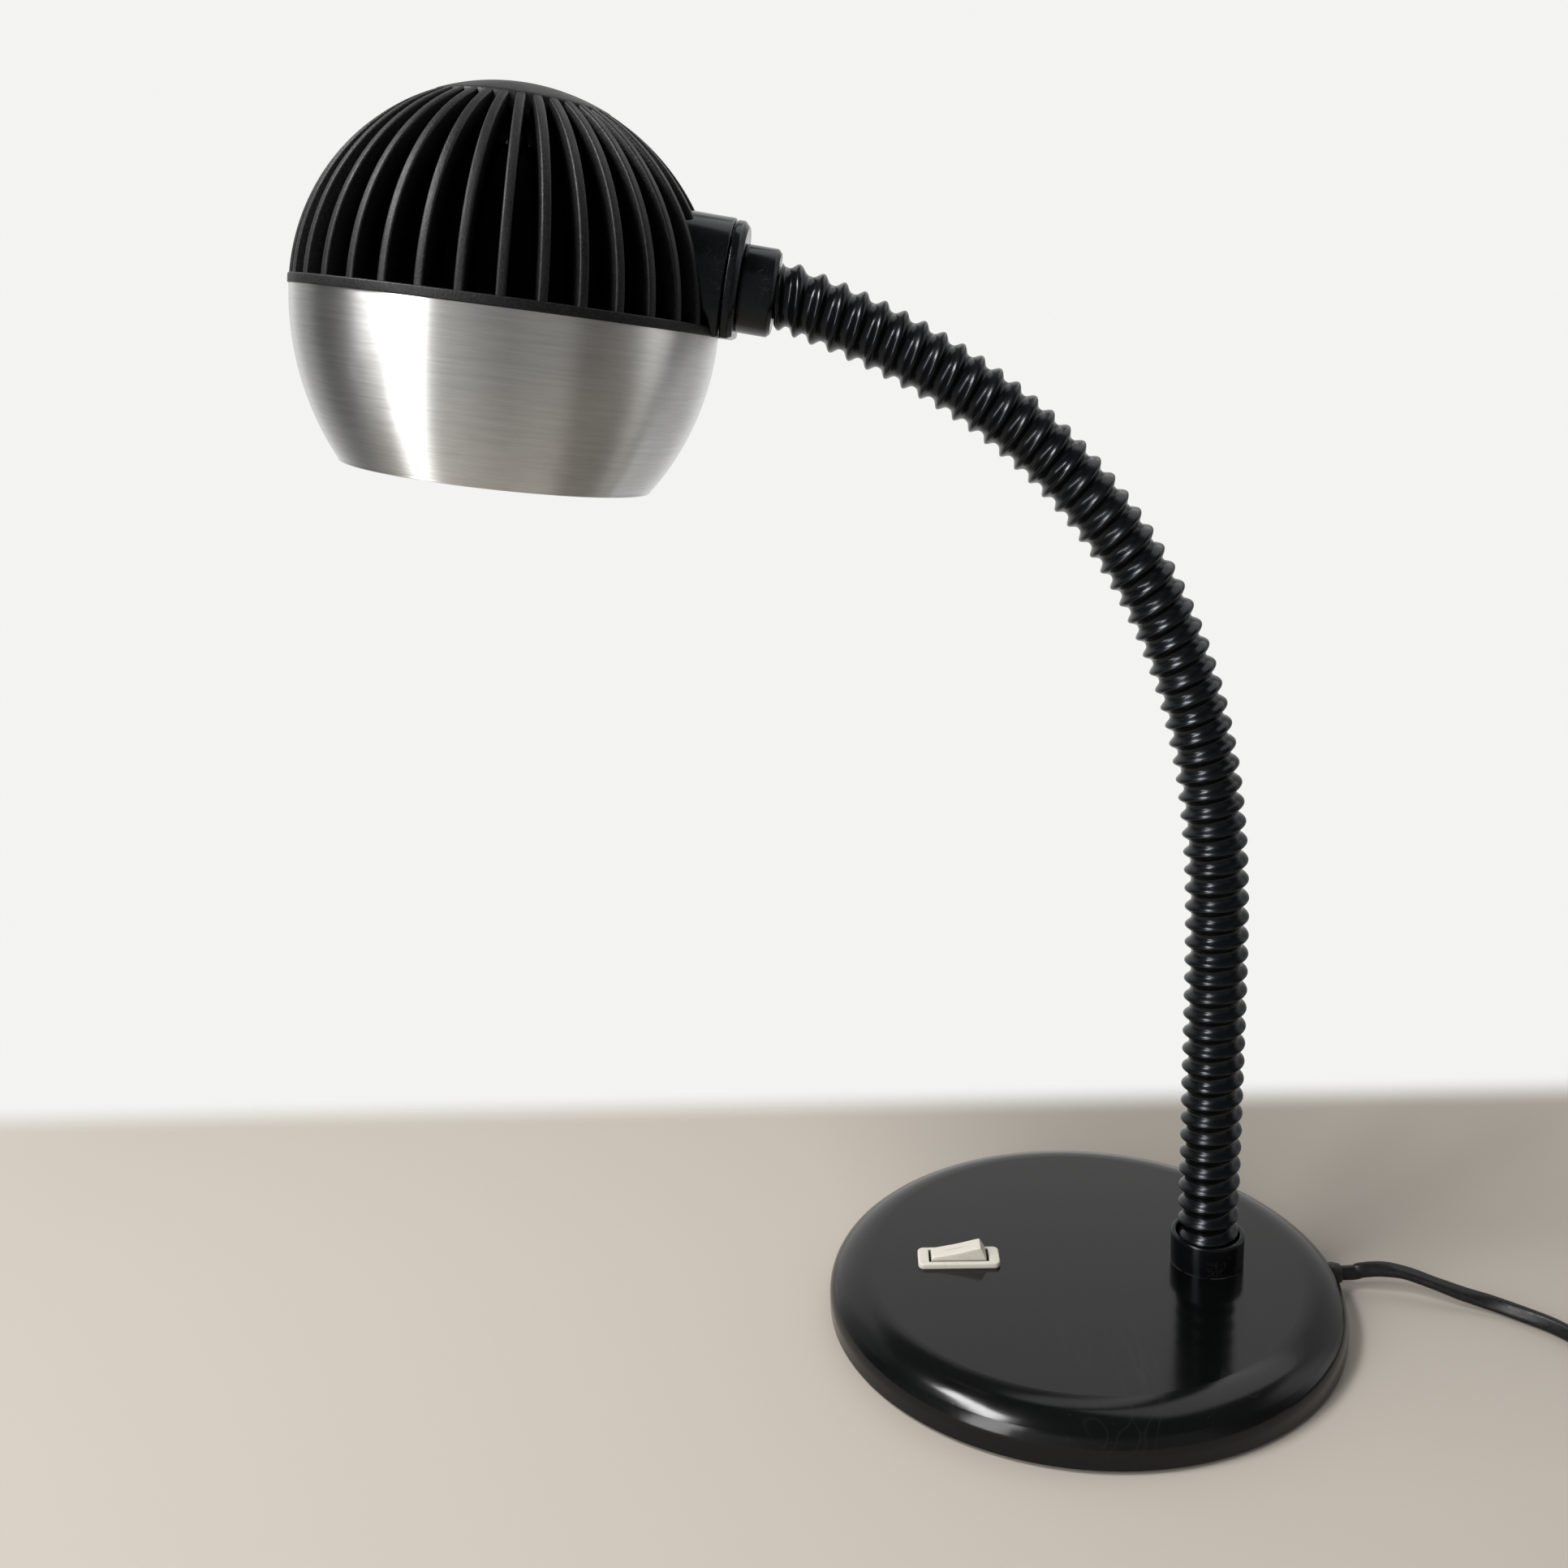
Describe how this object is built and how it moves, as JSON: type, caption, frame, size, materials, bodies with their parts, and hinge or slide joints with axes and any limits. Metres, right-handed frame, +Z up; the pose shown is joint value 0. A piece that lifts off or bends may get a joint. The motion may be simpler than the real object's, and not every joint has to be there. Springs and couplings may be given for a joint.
{
  "type": "gooseneck desk lamp",
  "caption": "Desk lamp with a round weighted base, rocker switch, ribbed flexible neck and a finned dome head with an aluminium shade that swivels on the neck.",
  "frame": {"origin": "centre of the round base, on the desk", "axes": "+Z up; +X from the centre of the base towards the foot of the neck; the neck arches back over -X and lies in the XZ plane"},
  "size_m": [0.5194, 0.2016, 0.4257],
  "materials": {
    "satin_black_enamel": "satin top with a glossy shoulder, lightly worn",
    "black_plastic_gloss": "gloss",
    "black_vinyl": "soft gloss",
    "black_plastic_matt": "fine matt grain",
    "brushed_aluminium": "spun and brushed round its axis",
    "cast_iron": "rough",
    "black_steel": "matt paint",
    "black_felt": "felt",
    "zinc_steel": "zinc plated",
    "ivory_plastic": "satin",
    "brass": "plain",
    "black_plastic_moulded": "satin",
    "black_cord": "satin vinyl",
    "nickel_pins": "nickel plated",
    "opal_glass": "opal"
  },
  "bodies": {
    "base": {"base_shell": "satin_black_enamel", "base_weight": "cast_iron", "base_plate": "black_steel", "base_pad": "black_felt", "base_screws": "zinc_steel", "neck_collar": "black_plastic_gloss", "neck_nipple": "zinc_steel", "neck_nut": "zinc_steel", "neck_washer": "zinc_steel", "switch_housing": "ivory_plastic", "switch_terminals": "brass", "cord_bush": "black_plastic_moulded", "cord_clamp": "black_plastic_moulded", "clamp_screws": "zinc_steel", "mains_lead": "black_cord", "neck_flex": "black_cord", "neck_core": "zinc_steel", "neck_sleeve_00": "black_vinyl", "cord": "black_cord", "cord_coil": "black_cord", "cord_tie": "black_plastic_moulded", "plug_body": "black_plastic_moulded", "plug_pins": "nickel_pins"},
    "rocker": {"switch_rocker": "ivory_plastic", "switch_contact": "brass"},
    "neck_01": {"neck_sleeve_01": "black_vinyl"},
    "neck_02": {"neck_sleeve_02": "black_vinyl"},
    "neck_03": {"neck_sleeve_03": "black_vinyl"},
    "neck_04": {"neck_sleeve_04": "black_vinyl"},
    "neck_05": {"neck_sleeve_05": "black_vinyl"},
    "neck_06": {"neck_sleeve_06": "black_vinyl"},
    "neck_07": {"neck_sleeve_07": "black_vinyl"},
    "neck_08": {"neck_sleeve_08": "black_vinyl"},
    "neck_09": {"neck_sleeve_09": "black_vinyl"},
    "neck_10": {"neck_sleeve_10": "black_vinyl"},
    "neck_11": {"neck_sleeve_11": "black_vinyl"},
    "neck_12": {"neck_sleeve_12": "black_vinyl"},
    "neck_13": {"neck_sleeve_13": "black_vinyl"},
    "neck_14": {"neck_sleeve_14": "black_vinyl", "neck_ferrule": "black_plastic_gloss", "swivel_nipple": "zinc_steel", "swivel_nut": "zinc_steel", "lamp_holder": "black_plastic_moulded", "holder_contacts": "brass", "bulb_cap": "brass", "bulb_glass": "opal_glass", "bulb_stem": "opal_glass"},
    "head": {"dome": "black_plastic_matt", "swivel_ring": "black_plastic_gloss", "swivel_washer": "black_plastic_gloss", "shade": "brushed_aluminium", "shade_screws": "zinc_steel"}
  },
  "joints": [
    {"name": "rocker_tilt", "type": "hinge", "parent": "base", "child": "rocker", "pos_m": [-0.045, 0.0015, 0.0172], "axis": [0, 1, 0], "range_deg": [0, 24]},
    {"name": "neck_sway", "type": "hinge", "parent": "base", "child": "neck_01", "pos_m": [0.0454, 0, 0.04676], "axis": [1, 0, 0], "range_deg": [-12, 12], "deforming": ["neck_core", "neck_flex"]},
    {"name": "neck_sway_02", "type": "hinge", "parent": "neck_01", "child": "neck_02", "pos_m": [0.0454, 0, 0.07352], "axis": [1, 0, 0], "range_deg": [-12, 12], "deforming": ["neck_core", "neck_flex"]},
    {"name": "neck_sway_03", "type": "hinge", "parent": "neck_02", "child": "neck_03", "pos_m": [0.0454, 0, 0.10028], "axis": [1, 0, 0], "range_deg": [-12, 12], "deforming": ["neck_core", "neck_flex"]},
    {"name": "neck_sway_04", "type": "hinge", "parent": "neck_03", "child": "neck_04", "pos_m": [0.0454, 0, 0.12704], "axis": [1, 0, 0], "range_deg": [-12, 12], "deforming": ["neck_core", "neck_flex"]},
    {"name": "neck_bend_05", "type": "hinge", "parent": "neck_04", "child": "neck_05", "pos_m": [0.04515, 0, 0.1538], "axis": [0, -1, 0], "range_deg": [-2.77, 1.67], "deforming": ["neck_core", "neck_flex"]},
    {"name": "neck_bend_06", "type": "hinge", "parent": "neck_05", "child": "neck_06", "pos_m": [0.04361, 0, 0.18051], "axis": [0, -1, 0], "range_deg": [-4.73, 2.84], "deforming": ["neck_core", "neck_flex"]},
    {"name": "neck_bend_07", "type": "hinge", "parent": "neck_06", "child": "neck_07", "pos_m": [0.03988, 0, 0.20701], "axis": [0, -1, 0], "range_deg": [-6.27, 3.77], "deforming": ["neck_core", "neck_flex"]},
    {"name": "neck_bend_08", "type": "hinge", "parent": "neck_07", "child": "neck_08", "pos_m": [0.03327, 0, 0.23295], "axis": [0, -1, 0], "range_deg": [-7.4, 4.45], "deforming": ["neck_core", "neck_flex"]},
    {"name": "neck_bend_09", "type": "hinge", "parent": "neck_08", "child": "neck_09", "pos_m": [0.02339, 0, 0.25782], "axis": [0, -1, 0], "range_deg": [-8.11, 4.87], "deforming": ["neck_core", "neck_flex"]},
    {"name": "neck_bend", "type": "hinge", "parent": "neck_09", "child": "neck_10", "pos_m": [0.01011, 0, 0.28104], "axis": [0, -1, 0], "range_deg": [-8.39, 5.04], "deforming": ["neck_core", "neck_flex"]},
    {"name": "neck_bend_11", "type": "hinge", "parent": "neck_10", "child": "neck_11", "pos_m": [-0.00642, 0, 0.30209], "axis": [0, -1, 0], "range_deg": [-8.28, 4.98], "deforming": ["neck_core", "neck_flex"]},
    {"name": "neck_bend_12", "type": "hinge", "parent": "neck_11", "child": "neck_12", "pos_m": [-0.02581, 0, 0.32053], "axis": [0, -1, 0], "range_deg": [-7.73, 4.65], "deforming": ["neck_core", "neck_flex"]},
    {"name": "neck_bend_13", "type": "hinge", "parent": "neck_12", "child": "neck_13", "pos_m": [-0.0475, 0, 0.3362], "axis": [0, -1, 0], "range_deg": [-6.78, 4.07], "deforming": ["neck_core", "neck_flex"]},
    {"name": "neck_bend_14", "type": "hinge", "parent": "neck_13", "child": "neck_14", "pos_m": [-0.07089, 0, 0.34921], "axis": [0, -1, 0], "range_deg": [-5.4, 3.25], "deforming": ["neck_core", "neck_flex"]},
    {"name": "head_swivel", "type": "hinge", "parent": "neck_14", "child": "head", "pos_m": [-0.11496, 0, 0.36412], "axis": [-0.9781, 0, 0.2079], "range_deg": [-150, 150]}
  ],
  "couplings": [
    {"joint": "neck_sway_02", "follows": "neck_sway", "ratio": 1},
    {"joint": "neck_sway_03", "follows": "neck_sway", "ratio": 1},
    {"joint": "neck_sway_04", "follows": "neck_sway", "ratio": 1},
    {"joint": "neck_bend_05", "follows": "neck_bend", "ratio": 0.3285},
    {"joint": "neck_bend_06", "follows": "neck_bend", "ratio": 0.5622},
    {"joint": "neck_bend_07", "follows": "neck_bend", "ratio": 0.7462},
    {"joint": "neck_bend_08", "follows": "neck_bend", "ratio": 0.8805},
    {"joint": "neck_bend_09", "follows": "neck_bend", "ratio": 0.9651},
    {"joint": "neck_bend_11", "follows": "neck_bend", "ratio": 0.9852},
    {"joint": "neck_bend_12", "follows": "neck_bend", "ratio": 0.9206},
    {"joint": "neck_bend_13", "follows": "neck_bend", "ratio": 0.8064},
    {"joint": "neck_bend_14", "follows": "neck_bend", "ratio": 0.6424}
  ]
}
